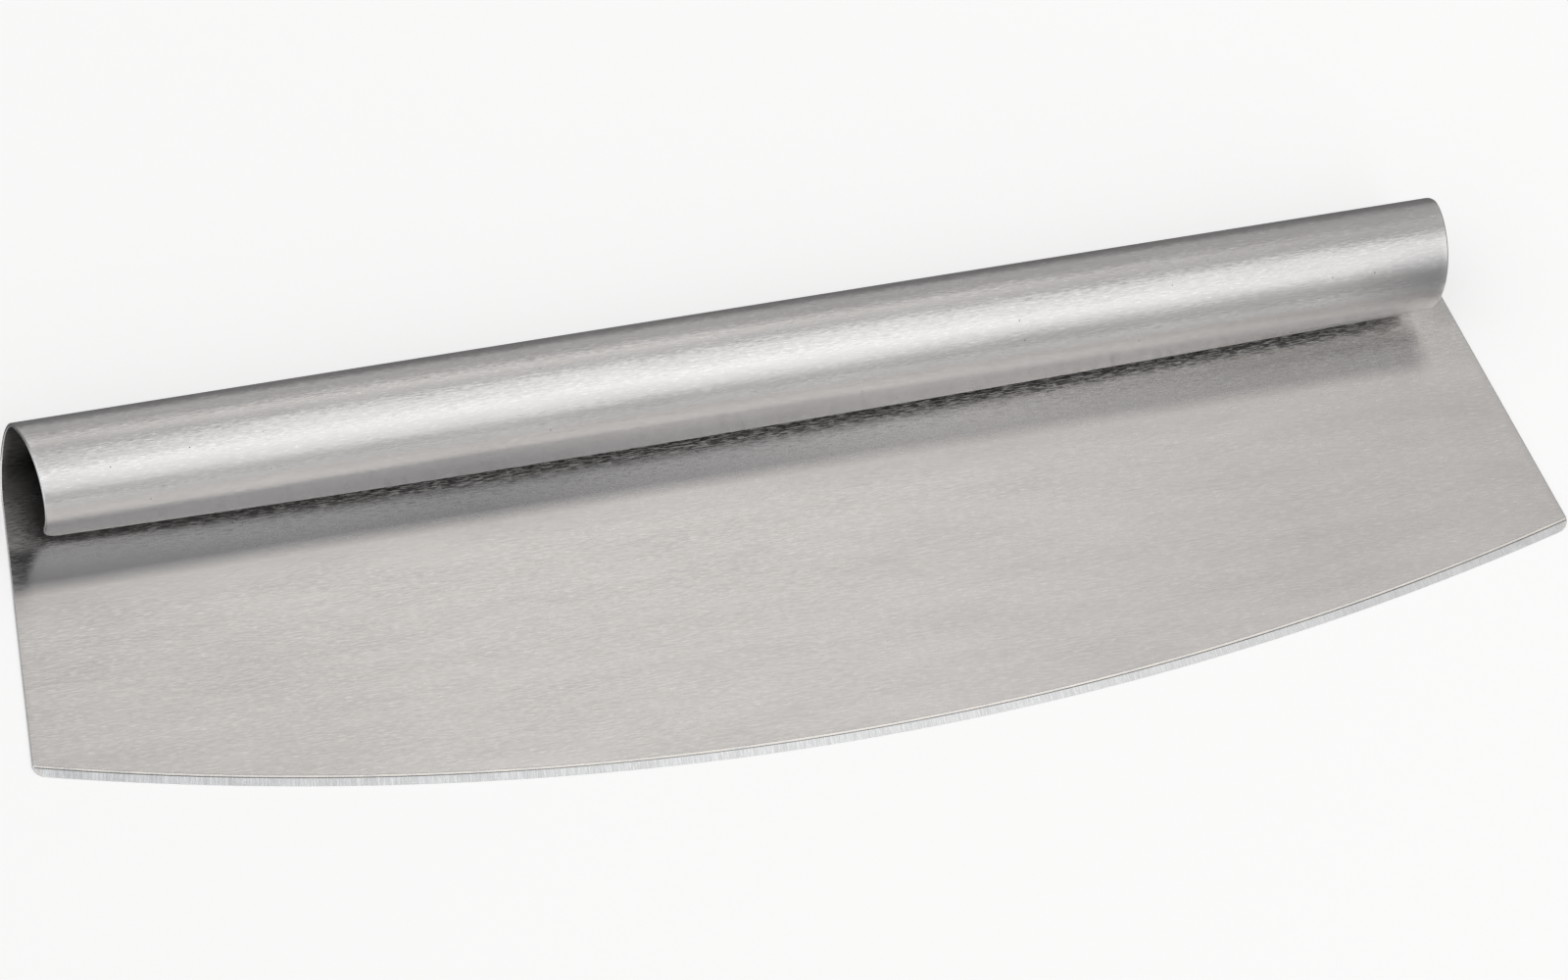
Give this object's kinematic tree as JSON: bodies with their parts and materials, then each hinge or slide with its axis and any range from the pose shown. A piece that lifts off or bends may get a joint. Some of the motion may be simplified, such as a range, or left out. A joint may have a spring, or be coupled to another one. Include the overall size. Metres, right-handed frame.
{
  "type": "rocking pizza cutter",
  "caption": "Long rocking pizza cutter of brushed steel: a flat blade with a ground curved edge, rolled along its top into an open hollow grip.",
  "frame": {"origin": "on the back face, under the middle of the whole outline's box", "axes": "+X along the grip, +Y from the cutting edge to the grip in the plane of the blade, +Z out of the front face, the side that the grip stands out from"},
  "size_m": [0.35, 0.1009, 0.024],
  "materials": {
    "brushed_flat": "brushed along the grip, satin",
    "ground_bevel": "freshly ground across the edge, bright",
    "brushed_roll": "brushed along the grip, satin"
  },
  "bodies": {
    "root": {"blade": "brushed_flat", "cutting_edge": "ground_bevel", "handle_roll": "brushed_roll", "handle_lip": "brushed_roll"}
  },
  "joints": []
}
